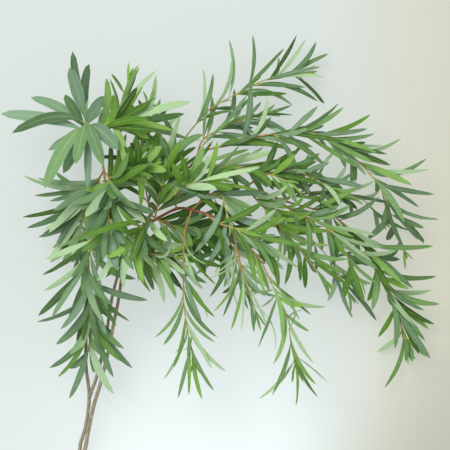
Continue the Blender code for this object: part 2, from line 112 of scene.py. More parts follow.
# Each spray has the route of its twig, from a limb outwards, the plan places of the leaf tips
# that stand out in its outline, some with a height, and the number of leaves that fill it.
# Its moreTips, more and wisps are leaves that only this scene has. Its green, how fresh its
# leaves are, and its bloom, the pale blue on them, run from 0 to 1
sprays = {
    "spray_far_left": {
        "route": ((-117, -12, 53), (-126, -10, 60), (-133, -15, 64), (-135, -27, 66), (-138, -41, 66),
                  (-135, -55, 64), (-135, -75, 60), (-136, -94, 54), (-137, -123, 46), (-139, -130, 44)),
        "tips": ((-183, -50), (-182, -66), (-187, -91), (-188, -97), (-177, -144), (-167, -152),
                 (-157, -175), (-112, -170), (-112, -153), (-93, -144), (-77, -75), (-89, -54),
                 (-101, -124), (-150, -119)),
        "moreTips": ((-172, -92), (-164, -104), (-158, -98), (-122, -96), (-118, -110), (-126, -118),
                     (-108, -100), (-116, -84), (-96, -96), (-170, -120), (-104, -136)),
        "fill": 2, "width": 7.4, "long": 1.1, "more": 15, "green": 0.62, "bloom": 0.44},
    "spray_left": {
        "route": ((-121, 54, 66), (-130, 40, 57), (-140, 20, 46), (-146, -5, 31), (-148, -25, 17)),
        "tips": ((-204, 8), (-200, -3), (-178, -35), (-182, -5), (-188, 47), (-203, 50)),
        "moreTips": ((-190, 2), (-176, -8), (-186, -12), (-176, 24), (-170, 14), (-194, 30), (-180, -2),
                     (-166, -16), (-184, 16)),
        "fill": 3, "width": 7.2, "long": 1.25, "more": 28, "green": 0.4, "bloom": 0.38},
    "spray_rosette": {
        "route": ((-133, 83, 74), (-136, 92, 78), (-137, 103, 82)),
        "tips": ((-151, 172), (-136, 161), (-153, 155), (-159, 130), (-195, 128), (-224, 111),
                 (-211, 91), (-177, 75), (-179, 36), (-147, 60), (-136, 36)),
        "moreTips": ((-119, 58), (-163, 52), (-105, 74), (-190, 62)),
        "fill": 1, "width": 13.0, "more": 2, "green": 0.36, "bloom": 0.64, "blunt": True},
    "spray_rosette_right": {
        "route": ((-128, 77, 72), (-128, 88, 80), (-121, 97, 85), (-110, 101, 87), (-97, 102, 87)),
        "tips": ((-75, 118), (-40, 110), (-58, 73), (-112, 129), (-94, 126), (-34, 122), (-98, 55),
                 (-66, 92)),
        "moreTips": ((-50, 92), (-75, 97), (-35, 85), (-100, 66), (-82, 78), (-44, 100)),
        "fill": 2, "width": 8.6, "long": 1.25, "more": 8, "green": 0.75, "bloom": 0.03},
    "spray_top_left": {
        "route": ((-119, 36, 63), (-108, 52, 69), (-107, 75, 69), (-106, 100, 66), (-104, 122, 61),
                  (-98, 143, 55)),
        "tips": ((-115, 146), (-128, 127), (-86, 158), (-78, 156), (-69, 155), (-82, 139),
                 (-68, 127), (-90, 150)),
        "fill": 1, "width": 4.2, "more": 3, "green": 0.6, "bloom": 0.08},
    "spray_top_middle": {
        "route": ((-75, 10, 48), (-80, 40, 53), (-84, 75, 55), (-82, 98, 52), (-78, 118, 48)),
        "tips": ((-65, 127), (-52, 124), (-70, 152), (-45, 112)),
        "fill": 3, "width": 5.0, "more": 14, "green": 0.5, "bloom": 0.15},
    "spray_upper_right": {
        "route": ((-50, 40, 50), (-52, 62, 51), (-44, 81, 50), (-33, 97, 48), (-16, 116, 44), (3, 128, 40),
                  (14, 134, 37), (38, 146, 31), (56, 149, 27), (64, 153, 24), (77, 155, 20)),
        "tips": ((4, 188), (28, 192), (7, 169), (59, 177), (73, 193), (82, 189), (93, 187),
                 (106, 175), (97, 160), (100, 150), (105, 120, -3), (94, 125), (81, 139), (63, 133),
                 (-22, 157), (-12, 152), (68, 122)),
        "fill": 1, "width": 4.6, "wisps": 6, "more": 8, "green": 0.65, "bloom": 0.35},
    "spray_upper_back": {
        "route": ((-30, 65, 52), (-22, 86, 48), (-4, 97, 43), (18, 107, 38), (38, 112, 33)),
        "tips": ((68, 111), (68, 122), (0, 136, -3), (30, 133)),
        "moreTips": ((45, 84), (62, 88), (20, 84), (75, 82), (52, 98), (12, 112)),
        "fill": 4, "width": 4.6, "more": 12, "green": 0.45, "bloom": 0.5},
    "spray_right_top": {
        "route": ((-20, 75, 54), (-3, 79, 58), (16, 84, 62), (41, 90, 66), (62, 91, 66), (91, 91, 64),
                  (115, 77, 60), (129, 68, 56), (144, 53, 50), (157, 37, 44), (165, 21, 38),
                  (168, 11, 34), (175, -10, 26), (182, -25, 20)),
        "tips": ((113, 121), (119, 118), (146, 111), (142, 96), (149, 91), (177, 87), (162, 71),
                 (203, 67), (205, 56), (187, 40), (210, 31), (197, 18), (215, 6), (180, 2),
                 (99, 60), (141, 50), (208, -21, -3), (180, -24), (195, -15), (130, 58)),
        "moreTips": ((52, 80), (74, 96), (88, 78), (100, 86), (118, 82), (36, 92), (158, 80), (150, 72),
                     (166, 60), (148, 62), (100, 100), (66, 76)),
        "fill": 2, "width": 6.2, "long": 1.1, "more": 19, "green": 0.56, "bloom": 0.35},
    "spray_crown_middle": {
        "route": ((-30, 65, 52), (-12, 60, 63), (12, 57, 72), (38, 52, 77), (60, 44, 78)),
        "tips": ((76, 62), (98, 40), (52, 74)),
        "moreTips": ((38, 78), (24, 76), (66, 66), (50, 62)),
        "fill": 4, "width": 6.0, "more": 16, "green": 0.7, "bloom": 0.1},
    "spray_crown_right": {
        "route": ((22, 38, 49), (40, 50, 58), (62, 56, 64), (86, 48, 68), (104, 38, 66)),
        "tips": ((139, 38), (134, 24), (95, 72)),
        "moreTips": ((70, 28), (80, 30), (90, 26)),
        "fill": 4, "width": 5.8, "more": 16, "green": 0.45, "bloom": 0.3},
    "spray_crown_left": {
        "route": ((-70, 5, 76), (-66, 22, 86), (-60, 45, 93), (-54, 68, 97)),
        "tips": ((-44, 108), (-80, 86), (-25, 70)),
        "fill": 4, "width": 7.0, "long": 1.25, "more": 28, "green": 0.75, "bloom": 0.1},
    "spray_inner_left": {
        "route": ((-121, 54, 66), (-115, 46, 76), (-114, 30, 84), (-115, 12, 88), (-113, -4, 89),
                  (-110, -22, 88)),
        "tips": ((-139, 35), (-127, -44), (-95, -40), (-133, -6), (-88, 6), (-141, 2), (-84, -22)),
        "moreTips": ((-86, 16), (-92, 26), (-78, 2), (-100, -12), (-130, 12)),
        "fill": 4, "width": 8.4, "long": 1.3, "wisps": 5, "more": 36, "green": 0.6, "bloom": 0.45},
    "spray_middle_left": {
        "route": ((-117, 21, 60), (-116, 34, 72), (-108, 46, 84), (-94, 54, 92), (-78, 58, 96)),
        "tips": ((-40, 49), (-57, 73), (-66, 92), (-62, 30), (-98, 92), (-84, 18), (-46, 62)),
        "moreTips": ((-52, 36), (-60, 22), (-74, 34), (-88, 44)),
        "fill": 5, "width": 8.0, "long": 1.35, "more": 32, "green": 0.85, "bloom": 0.03},
    "spray_middle": {
        "route": ((-48, 16, 80), (-50, 26, 90), (-43, 36, 99), (-30, 42, 104), (-14, 44, 107)),
        "tips": ((-12, 84), (14, 78), (34, 56), (-30, 86, 120), (-6, 12), (32, 34)),
        "fill": 5, "width": 7.4, "long": 1.25, "more": 22, "green": 0.75, "bloom": 0.05},
    "spray_middle_low": {
        "route": ((-68, 6, 76), (-75, 4, 87), (-82, -2, 93), (-88, -10, 96), (-92, -18, 97)),
        "tips": ((-118, -52), (-100, -62), (-80, -60), (-62, -48), (-132, -30), (-50, -32), (-138, -12)),
        "moreTips": ((-96, -64), (-86, -56), (-112, -60), (-74, -66), (-108, -40)),
        "fill": 5, "width": 7.4, "long": 1.2, "more": 28, "green": 0.7, "bloom": 0.08},
    "spray_middle_right": {
        "route": ((-18, 10, 86), (-8, 2, 96), (6, -2, 102), (22, -8, 104), (36, -18, 103)),
        "tips": ((72, -42), (52, -62), (80, -20), (60, 8), (30, -56)),
        "moreTips": ((48, -50), (38, -58), (58, -44)),
        "fill": 4, "width": 6.5, "more": 22, "green": 0.65, "bloom": 0.1},
    "spray_low_inner": {
        "route": ((-97, -20, 67), (-86, -24, 76), (-74, -28, 82), (-60, -30, 85), (-46, -32, 86)),
        "tips": ((-2, -42), (-18, -58), (-42, -66), (-8, -28), (-64, -64), (-30, -50)),
        "moreTips": ((-56, -8), (-62, -2), (-60, -78), (-48, -72), (-72, -66)),
        "fill": 4, "width": 6.5, "long": 1.15, "wisps": 8, "more": 18, "green": 0.65, "bloom": 0.1},
    "spray_low_back": {
        "route": ((-75, 10, 48), (-64, 4, 56), (-50, 0, 62), (-34, -3, 65), (-18, -6, 65)),
        "tips": ((22, -28), (-2, -38), (26, 0), (-28, -34), (2, 22)),
        "moreTips": ((-30, -16), (-36, -24), (-20, 12), (-44, 14)),
        "fill": 5, "width": 7.0, "long": 1.25, "more": 28, "green": 0.45, "bloom": 0.15},
    "spray_centre": {
        "route": ((-33, 15, 84), (-17, 29, 91), (-4, 31, 96), (0, 18, 99), (3, 8, 100)),
        "tips": ((52, 3), (43, 32), (15, 37), (-44, 56), (-53, 40), (-1, 62), (-30, -27),
                 (-17, -37), (30, 14)),
        "fill": 1, "width": 6.6, "more": 2, "green": 0.75, "bloom": 0.75},
    "spray_front_left": {
        "route": ((-33, 15, 84), (-38, 0, 87), (-40, -11, 89), (-41, -38, 89), (-41, -75, 84),
                  (-37, -106, 76), (-33, -127, 68), (-31, -136, 62)),
        "tips": ((-70, -112), (-61, -119), (-51, -142), (-61, -154), (-47, -173), (-36, -169),
                 (-23, -174), (-11, -165), (1, -146), (-13, -143), (-10, -116), (-8, -111),
                 (-10, -91), (-23, -95)),
        "fill": 2, "width": 4.2, "wisps": 7, "more": 2, "green": 0.85, "bloom": 0.35},
    "spray_front_middle": {
        "route": ((9, -9, 94), (11, -20, 93), (15, -37, 92), (19, -52, 90), (24, -66, 86), (30, -84, 80)),
        "tips": ((6, -104), (16, -104), (-2, -91), (23, -84), (-11, -85), (42, -100)),
        "fill": 2, "width": 3.4, "wisps": 14, "more": 2, "green": 0.85, "bloom": 0.5},
    "spray_front_right": {
        "route": ((9, -9, 94), (16, -14, 96), (25, -23, 98), (35, -35, 98), (47, -60, 96), (56, -78, 92),
                  (63, -95, 86), (65, -115, 78), (70, -138, 66)),
        "tips": ((99, -81), (73, -93), (85, -89), (87, -136), (90, -158), (92, -171), (71, -180),
                 (47, -169), (34, -174), (48, -137), (33, -120), (56, -110)),
        "moreTips": ((66, -58), (44, -66)),
        "fill": 1, "width": 4.6, "wisps": 7, "more": 3, "green": 0.95, "bloom": 0.2},
    "spray_under_middle": {
        "route": ((-20, 42, 49), (-10, 15, 56), (4, -15, 60), (14, -40, 57), (18, -62, 50)),
        "tips": ((-15, -72), (28, -92), (-30, -50)),
        "moreTips": ((4, -62), (10, -56), (-6, -56)),
        "fill": 4, "width": 5.6, "wisps": 10, "more": 18, "green": 0.3, "bloom": 0.3},
    "spray_under_right": {
        "route": ((22, 38, 49), (44, 12, 60), (64, -12, 68), (84, -36, 68), (98, -54, 62)),
        "tips": ((127, -64), (122, -34), (118, -48), (60, -60)),
        "moreTips": ((104, -6), (98, 6), (64, 18), (86, 2)),
        "fill": 4, "width": 6.0, "more": 24, "green": 0.9, "bloom": 0.1},
    "spray_right_low": {
        "route": ((48, 28, 50), (66, 15, 63), (89, 4, 67), (109, -8, 67), (117, -21, 63), (122, -31, 59),
                  (134, -52, 50)),
        "tips": ((160, -22), (172, -26), (150, -10), (155, -60), (140, -78)),
        "moreTips": ((112, 8), (118, -2), (146, -36), (152, -44), (128, -12)),
        "fill": 3, "width": 5.6, "more": 18, "green": 0.8, "bloom": 0.2},
    "spray_right_middle": {
        "route": ((60, 24, 50), (82, 18, 51), (104, 11, 52), (121, 0, 51), (130, -9, 49), (142, -19, 46),
                  (148, -31, 42), (156, -46, 37), (163, -61, 31), (175, -88, 21), (187, -124, 9)),
        "tips": ((209, -21), (173, -26), (214, -52), (218, -80), (201, -86), (213, -101), (208, -106),
                 (211, -124, -14), (209, -144, -16), (201, -150, -16), (173, -126), (163, -166)),
        "moreTips": ((168, -66), (178, -58), (184, -72), (190, -64), (172, -80), (204, -118), (198, -132),
                     (206, -134), (196, -104), (160, -34)),
        "fill": 3, "width": 6.4, "long": 1.1, "more": 20, "green": 0.75, "bloom": 0.3},
    "spray_right_back": {
        "route": ((54, 26, 50), (88, 33, 45), (115, 33, 41), (140, 25, 35), (158, 8, 28)),
        "tips": ((188, -6), (170, 22), (150, 44)),
        "fill": 4, "width": 5.2, "more": 14, "green": 0.35, "bloom": 0.45},
    "spray_right_under": {
        "route": ((35, 34, 50), (58, 8, 42), (85, -12, 36), (110, -40, 29), (124, -66, 21)),
        "tips": ((140, -78), (155, -98), (130, -95), (150, -60)),
        "fill": 3, "width": 5.0, "more": 10, "green": 0.5, "bloom": 0.75},
}


def smoothLine(points, steps):  # a Catmull-Rom curve through the points
    places = [Vector(point) for point in points]
    padded = [2 * places[0] - places[1], *places, 2 * places[-1] - places[-2]]
    line = []
    for a, b, c, d in zip(padded, padded[1:], padded[2:], padded[3:]):
        for step in range(steps):
            t = step / steps
            line.append(0.5 * (2 * b + (c - a) * t + (2 * a - 5 * b + 4 * c - d) * t ** 2
                               + (3 * b - a - 3 * c + d) * t ** 3))
    return line + [places[-1]]


def taper(count, start, end):
    return [start + (end - start) * index / (count - 1) for index in range(count)]


def limbPlaces():  # close places along every limb, with the limb's heading and radius there
    places = []
    for start, end, route in limbs.values():
        line = smoothLine(route, growth["limbSteps"])
        for place, following, radius in zip(line, line[1:], taper(len(line), start, end)):
            places.append({"place": following, "heading": (following - place).normalized(),
                           "radius": radius, "isEnd": following == line[-1]})
    return places


def twigRoot(route, places):  # where a twig leaves its limb, and how far its stub stands out
    root = min(places, key=lambda entry: (entry["place"] - Vector(route[0])).length)
    heading = (Vector(route[1]) - root["place"]).normalized()
    slant = heading.angle(root["heading"])
    length = growth["twigRootRadius"] + growth["stubLength"]
    if not root["isEnd"]:
        clear = root["radius"] + growth["gap"]
        clear += growth["twigRootRadius"] * growth["stubSwell"] * abs(math.cos(slant))
        length = max(length, clear / math.sin(slant))
    return {"place": root["place"], "heading": heading, "length": length}


def twigRoute(spray, root):  # the places that a spray's twig passes through
    start = root["place"] + root["heading"] * (root["length"] + growth["gap"])
    return (start, *spray["route"][1:])


def leafPlaces(line):  # places where a leaf can grow, with the twig's heading there
    places = []
    for start, end in zip(line, line[1:]):
        heading = (end - start).normalized()
        steps = max(1, round((end - start).length / growth["placeSpacing"]))
        places += [(start.lerp(end, (step + 1) / steps), heading) for step in range(steps)]
    return places[2:-1]  # none at the very ends


def placeForTip(places, tip, used, length):  # a leaf of this length reaches its tip from here
    def cost(place):
        reach = Vector(tip[:2]) - place[0].xy
        lean = reach.normalized().dot(place[1].xy.normalized())
        backwards = leafRule["leanCost"] * max(0, leafRule["forwardLean"] - lean)
        crowding = sum(max(0, growth["leafSpacing"] - (place[0] - other).length) for other in used)
        return abs(reach.length - length) + backwards + leafRule["crowdingCost"] * crowding
    chosen = min(places, key=cost)
    used.append(chosen[0])
    return chosen


def outwardsFrom(heading, turn):  # a direction square to the twig
    return Matrix.Rotation(turn, 3, heading) @ heading.orthogonal().normalized()


def leafBend(base, tip, heading, sway, arch):  # a leaf leaves its twig forwards and curves out
    along = tip - base
    sideways = along.cross(Vector((0, 0, 1))).normalized()
    forwards = heading * along.length / 2 - along / 2
    offset = sideways * along.length * sway + Vector((0, 0, along.length * arch))
    return base.lerp(tip, 0.5) + forwards * leafRule["follow"] + offset


def leafFrame(leaf, t, turn=0.0):  # middle, width direction and face direction of a leaf
    base, bend, tip = leaf["base"], leaf["bend"], leaf["tip"]
    centre = base * (1 - t) ** 2 + bend * 2 * t * (1 - t) + tip * t ** 2
    heading = ((bend - base) * (1 - t) + (tip - bend) * t).normalized()
    level = heading.cross(Vector((0, 0, 1))).normalized()
    across = Matrix.Rotation(leaf["roll"] + turn, 3, heading) @ level
    return centre, across, across.cross(heading)


def plainLeaf(leaf, form, grow=0.0):  # a few-sided leaf, only to test what it touches
    shape = bmesh.new()
    bmesh.ops.create_grid(shape, x_segments=len(form) - 1, y_segments=1, size=0.5)
    bmesh.ops.triangulate(shape, faces=shape.faces[:])
    lower = set(shape.verts)
    bmesh.ops.extrude_face_region(shape, geom=shape.faces[:])
    thickness = growth["leafThickness"]
    for vertex in shape.verts:
        t, share = form[round((vertex.co.x + 0.5) * (len(form) - 1))]
        side = 1 if vertex.co.y > 0 else -1
        centre, across, face = leafFrame(leaf, t)
        layer = -(thickness / 2 + grow) if vertex in lower else thickness / 2 + grow
        vertex.co = centre + across * side * (leaf["width"] / 2 * share + grow) + face * layer
        vertex.co.z = max(vertex.co.z, 0 if vertex in lower else thickness + grow)
    bmesh.ops.triangulate(shape, faces=shape.faces[:])
    return shape


def shell(shape, owner):  # the surface of a piece and its box
    low = [min(vertex.co[axis] for vertex in shape.verts) for axis in range(3)]
    high = [max(vertex.co[axis] for vertex in shape.verts) for axis in range(3)]
    tree = BVHTree.FromBMesh(shape)
    shape.free()
    return {"owner": owner, "tree": tree, "low": low, "high": high}


def tubeShell(line, radii, owner):
    shape = bmesh.new()
    for start, end, radius in zip(line, line[1:], radii):
        middle = start.lerp(end, 0.5)
        turn = (end - start).to_track_quat("Z", "Y").to_matrix().to_4x4()
        size = Matrix.Diagonal((radius * 2, radius * 2, (end - start).length + radius, 1))
        bmesh.ops.create_cube(shape, size=1, matrix=Matrix.Translation(middle) @ turn @ size)
    return shell(shape, owner)


def woodShells(roots, twigs):
    shells = []
    for start, end, route in limbs.values():
        line = smoothLine(route, 1)
        shells.append(tubeShell(line, taper(len(line), start, end), "woody_stem"))
    for root in roots.values():
        stub = [root["place"], root["place"] + root["heading"] * root["length"]]
        shells.append(tubeShell(stub, [growth["twigRootRadius"] * growth["stubSwell"]], "woody_stem"))
    for name, line in twigs.items():
        radii = taper(len(line), growth["twigRootRadius"], growth["twigTipRadius"])
        shells.append({**tubeShell(line, radii, name), "twig": True})
    return shells


# Thin upright strips over the twigs and the arch that the picture shows in front of the leaves.
# Further leaves stay out of them
curtain = {
    "width": 1.8,
    "lift": 2,
    "archPoints": 6,
    "twigs": ("spray_centre", "spray_front_left", "spray_front_middle", "spray_front_right"),
}


def curtainShell(line):
    shape = bmesh.new()
    for start, end in zip(line, line[1:]):
        along = (end - start).xy
        height = growth["highestTip"] - start.z
        middle = start.lerp(end, 0.5) + Vector((0, 0, curtain["lift"] + height / 2))
        turn = Matrix.Rotation(math.atan2(along.y, along.x), 4, "Z")
        size = Matrix.Diagonal((along.length, curtain["width"], height, 1))
        bmesh.ops.create_cube(shape, size=1, matrix=Matrix.Translation(middle) @ turn @ size)
    return shell(shape, "curtain")


def curtains(twigs):
    arch = smoothLine(limbs["right_limb"][2][-curtain["archPoints"]:], 1)
    return [curtainShell(arch), *(curtainShell(twigs[name]) for name in curtain["twigs"])]


def touches(first, second):
    apart = any(first["low"][axis] > second["high"][axis] or second["low"][axis] > first["high"][axis]
                for axis in range(3))
    return not apart and bool(first["tree"].overlap(second["tree"]))


def leafIsFree(leaf, form, owner, shells):
    whole = shell(plainLeaf(leaf, form, growth["clearance"]), owner)
    outerForm = ((growth["shellStart"], form[0][1]), *form[1:])
    outer = shell(plainLeaf(leaf, outerForm, growth["clearance"]), owner)
    return not any(touches(outer if other["owner"] == owner else whole, other) for other in shells
                   if not (other["owner"] == owner and other.get("twig")))


def tryLeaf(name, number, wish, shells, draw, angle=leafRule["angle"], curl=1, slim=1):
    # Turns or lifts a leaf until it is free
    spray = sprays[name]
    form = plainBlunt if spray.get("blunt") else plainLance
    base, heading, tip, reach = wish
    drop = draw.uniform(*leafRule["drop"])
    sway = draw.uniform(*leafRule["sway"]) * curl
    arch = draw.uniform(*leafRule["arch"])
    roll = draw.uniform(*leafRule["roll"])
    length = growth["leafLength"] * reach * draw.uniform(*leafRule["length"])
    width = spray["width"] * draw.uniform(*leafRule["width"]) * slim
    for attempt in range(leafRule["attempts"]):
        shift = (attempt + 1) // 2 * (1 if attempt % 2 else -1)
        if tip:
            height = max(growth["lowestTip"], base.z + drop + leafRule["liftStep"] * shift)
            end = Vector((*tip, height)[:3])
        else:
            turn = number * leafRule["turn"] + leafRule["turnStep"] * shift
            lean = heading * math.cos(angle) + outwardsFrom(heading, turn) * math.sin(angle)
            end = base + lean * length
            end.z = min(growth["highestTip"], max(growth["lowestTip"], end.z - leafRule["tipSag"]))
        leaf = {"base": base, "tip": end, "bend": leafBend(base, end, heading, sway, arch),
                "roll": roll, "width": width}
        if leafIsFree(leaf, form, name, shells):
            shells.append(shell(plainLeaf(leaf, form), name))
            return leaf
    return None


# A wish is a place on the twig, its heading, the plan place of a tip or None, and a reach
def tipWishes(places, tips, long):
    used = []
    return [(*placeForTip(places, tip, used, growth["leafLength"] * long), tip, long) for tip in tips]


def fillWish(places, index, long):
    return (*places[index], None, long * (1 - leafRule["endShortening"] * index / len(places)))


def growLeaves(name, line, shells, draw):
    spray = sprays[name]
    places = leafPlaces(line)
    long = spray.get("long", 1)
    wishes = tipWishes(places, spray["tips"], long)
    for number in range(spray["fill"]):
        index = round((number + leafRule["firstFill"]) / spray["fill"] * (len(places) - 1))
        wishes.append(fillWish(places, index, long))
    leaves = [tryLeaf(name, number, wish, shells, draw) for number, wish in enumerate(wishes)]
    return [leaf for leaf in leaves if leaf]


# The leaves that only this scene has: full ones, and thin pale curled wisps
moreLeaf = {"seed": 8, "angle": (0.5, 1.15), "turns": 3, "firstTurn": 1}
wisp = {"angle": (0.4, 1.3), "reach": (0.7, 1.1), "turns": 2, "curl": 3.2, "slim": 0.45}


def growMoreLeaves(name, line, shells, draw):
    spray = sprays[name]
    places = leafPlaces(line)
    long = spray.get("long", 1)
    wishes = tipWishes(places, spray.get("moreTips", ()), long)
    leaves = [tryLeaf(name, number, wish, shells, draw) for number, wish in enumerate(wishes)]
    for number in range(spray["more"]):
        wish = fillWish(places, int(draw.random() * (len(places) - 1)), long)
        angle = draw.uniform(*moreLeaf["angle"])
        turns = number * moreLeaf["turns"] + moreLeaf["firstTurn"]
        leaves.append(tryLeaf(name, turns, wish, shells, draw, angle))
    for number in range(spray.get("wisps", 0)):
        index = int(draw.random() * (len(places) - 1))
        wish = (*places[index], None, draw.uniform(*wisp["reach"]))
        angle = draw.uniform(*wisp["angle"])
        turns = number * wisp["turns"]
        leaf = tryLeaf(name, turns, wish, shells, draw, angle, wisp["curl"], wisp["slim"])
        leaves.append({**leaf, "pale": 1.0} if leaf else None)
    return [leaf for leaf in leaves if leaf]


fullTurn = 6.28  # radians, for waves and turns that are drawn

# A leaf's fine shape. Lengths are millimetres, and shares are of the leaf's length or half-width
leafShape = {
    "alongParts": 12,
    "acrossParts": 2,
    "petioleWidth": 0.95,
    "petioleEnd": 1 / 3,
    "bladeStart": 1 / 8,
    "leastHalfWidth": 0.12,
    "midribThickness": 0.62,
    "edgeThickness": 0.3,
    "petioleThickness": 0.85,
    "foldDepth": 0.17,
    "foldRange": (-0.4, 1.3),
    "edgeWave": 0.22,
    "waveCount": (2.0, 3.6),
    "twist": 0.35,
    "twistCentre": 0.4,
    "lance": {"peak": 0.55, "rootPower": 0.78, "tipPower": 0.5},
    "blunt": {"peak": 0.6, "rootPower": 0.95, "tipPower": 0.42},
}


def halfWidth(t, outline, full):  # a sine swept so that it peaks at the leaf's widest place
    swept = math.pi * t ** (math.log(0.5) / math.log(outline["peak"]))
    power = outline["rootPower"] if t < outline["peak"] else outline["tipPower"]
    swell = max(0.0, math.sin(swept)) ** power
    petiole = leafShape["petioleWidth"] / 2 * max(0.0, 1 - t / leafShape["petioleEnd"])
    return max(full * swell, petiole, leafShape["leastHalfWidth"])


def layersOf(shape):
    return shape.loops.layers.uv["surfaceMap"], shape.loops.layers.float_color["tone"]


def facesOf(verts):
    return list({face for vertex in verts for face in vertex.link_faces})


def newShape():  # an empty mesh whose corners carry a map and a tone
    shape = bmesh.new()
    shape.loops.layers.uv.new("surfaceMap")
    shape.loops.layers.float_color.new("tone")
    return shape


def addLeaf(shape, leaf, outline, tone, draw):
    leafMap, toneLayer = layersOf(shape)
    made = bmesh.ops.create_grid(shape, x_segments=leafShape["alongParts"],
                                 y_segments=leafShape["acrossParts"], size=0.5)
    lower = set(made["verts"])
    raised = bmesh.ops.extrude_face_region(shape, geom=facesOf(lower))["geom"]
    upper = {item for item in raised if isinstance(item, bmesh.types.BMVert)}
    leafFaces = facesOf(lower | upper)
    for face in leafFaces:
        isRim = not (lower.issuperset(face.verts) or upper.issuperset(face.verts))
        for edge in face.edges if isRim else ():  # the leaf's thin edge is sharp
            edge.smooth = not (lower.issuperset(edge.verts) or upper.issuperset(edge.verts))
        underside = 1.0 if lower.issuperset(face.verts) else 0.0
        for corner in face.loops:
            corner[leafMap].uv = (corner.vert.co.y + 0.5, corner.vert.co.x + 0.5)
            corner[toneLayer] = (tone[0], tone[1], max(underside, tone[2]), 1.0)
    fold = leafShape["foldDepth"] * draw.uniform(*leafShape["foldRange"])
    twist = leafShape["twist"] * draw.uniform(-1, 1)
    phase = draw.uniform(0, fullTurn)
    waves = draw.uniform(*leafShape["waveCount"])
    for vertex in lower | upper:
        t = vertex.co.x + 0.5
        v = vertex.co.y * 2
        centre, across, face = leafFrame(leaf, t, twist * (t - leafShape["twistCentre"]))
        half = halfWidth(t, outline, leaf["width"] / 2)
        edge = abs(v)
        blade = min(1.0, t / leafShape["bladeStart"])
        thickness = leafShape["midribThickness"] * (1 - edge) + leafShape["edgeThickness"] * edge
        thickness = leafShape["petioleThickness"] * (1 - blade) + thickness * blade
        lift = fold * (edge - 0.5) * half * blade
        lift += leafShape["edgeWave"] * edge * math.sin(waves * t * fullTurn + phase + v) * blade
        layer = -thickness / 2 if vertex in lower else thickness / 2
        vertex.co = centre + across * v * half + face * (lift + layer)
        vertex.co.z = max(vertex.co.z, 0.0 if vertex in lower else thickness)
    bmesh.ops.recalc_face_normals(shape, faces=leafFaces)
    for face in leafFaces:
        face.smooth = True
        face.material_index = 0


def addTube(shape, line, radii, sides, tones):  # a grid rolled into a tube round the line
    barkMap, toneLayer = layersOf(shape)
    made = bmesh.ops.create_grid(shape, x_segments=len(line) - 1, y_segments=sides, size=0.5)
    verts = made["verts"]
    lengths = [0.0]
    for start, end in zip(line, line[1:]):
        lengths.append(lengths[-1] + (end - start).length)
    for face in facesOf(verts):
        face.smooth = True
        face.material_index = 1
        for corner in face.loops:
            index = round((corner.vert.co.x + 0.5) * (len(line) - 1))
            corner[barkMap].uv = (corner.vert.co.y + 0.5, lengths[index] / twigShape["mapUnit"])
            corner[toneLayer] = tones[index]
    normals = []
    normal = (line[1] - line[0]).orthogonal().normalized()
    for index in range(len(line)):
        heading = (line[min(index + 1, len(line) - 1)] - line[max(index - 1, 0)]).normalized()
        normal = (normal - heading * normal.dot(heading)).normalized()
        normals.append((normal, heading.cross(normal)))
    for vertex in verts:
        index = round((vertex.co.x + 0.5) * (len(line) - 1))
        angle = (vertex.co.y + 0.5) * math.tau
        normal, other = normals[index]
        vertex.co = line[index] + (normal * math.cos(angle) + other * math.sin(angle)) * radii[index]
        vertex.co.z = max(vertex.co.z, 0.0)
    bmesh.ops.remove_doubles(shape, verts=verts, dist=twigShape["mergeDistance"])
    verts = [vertex for vertex in verts if vertex.is_valid]
    openEdges = [edge for edge in {edge for vertex in verts for edge in vertex.link_edges}
                 if edge.is_boundary]
    caps = bmesh.ops.holes_fill(shape, edges=openEdges, sides=sides)["faces"]
    for cap in caps:
        cap.material_index = 1
    bmesh.ops.recalc_face_normals(shape, faces=facesOf(verts))
    return caps


# The twigs: how their bark swells where leaves grow, in millimetres, and its ages
twigShape = {
    "sides": 10,
    "ringEvery": 1.6,
    "collar": 0.55,
    "collarReach": 4.0,
    "nodeSwell": 0.3,
    "nodeReach": 1.5,
    "roughness": 0.07,
    "roughSize": 5,
    "rootRadius": 0.85,
    "tipRadius": 0.38,
    "ages": (0.64, 1.0),
    "seedStep": 1.37,
    "curveSteps": 12,
    "mapUnit": 10,
    "mergeDistance": 0.0001,
}


def evenLine(controls, spacing):
    dense = smoothLine(controls, twigShape["curveSteps"])
    line = [dense[0]]
    for place in dense[1:-1]:
        if (place - line[-1]).length >= spacing:
            line.append(place)
    return line + [dense[-1]]


def addTwig(shape, controls, nodes, seed):
    line = evenLine(controls, twigShape["ringEvery"])
    radii = taper(len(line), twigShape["rootRadius"], twigShape["tipRadius"])
    atRoot, atTip = twigShape["ages"]
    tones = []
    for index, place in enumerate(line):
        fromRoot = (place - line[0]).length
        radii[index] *= 1 + twigShape["collar"] * math.exp(-fromRoot / twigShape["collarReach"])
        nearest = min((place - node).length for node in nodes)
        radii[index] *= 1 + twigShape["nodeSwell"] * math.exp(-(nearest / twigShape["nodeReach"]) ** 2)
        bumps = noise.noise(place / twigShape["roughSize"] + Vector((seed, 0, 0)))
        radii[index] *= 1 + twigShape["roughness"] * bumps
        share = index / (len(line) - 1)
        tones.append((atRoot + (atTip - atRoot) * share, 0.0, 0.0, 1.0))
    addTube(shape, line, radii, twigShape["sides"], tones)


# The small new leaves round a twig's end, in millimetres. Pairs are the ends of a random draw
bud = {
    "count": 3,
    "turn": 2.1,
    "length": (13, 24),
    "firstSpread": 0.25,
    "spreadStep": 0.12,
    "spacing": 0.8,
    "lowest": 0.3,
    "sway": (-0.1, 0.1),
    "arch": 0.03,
    "roll": (-0.6, 0.6),
    "width": (1.8, 2.8),
    "green": 0.95,
    "bloomShare": 0.6,
}


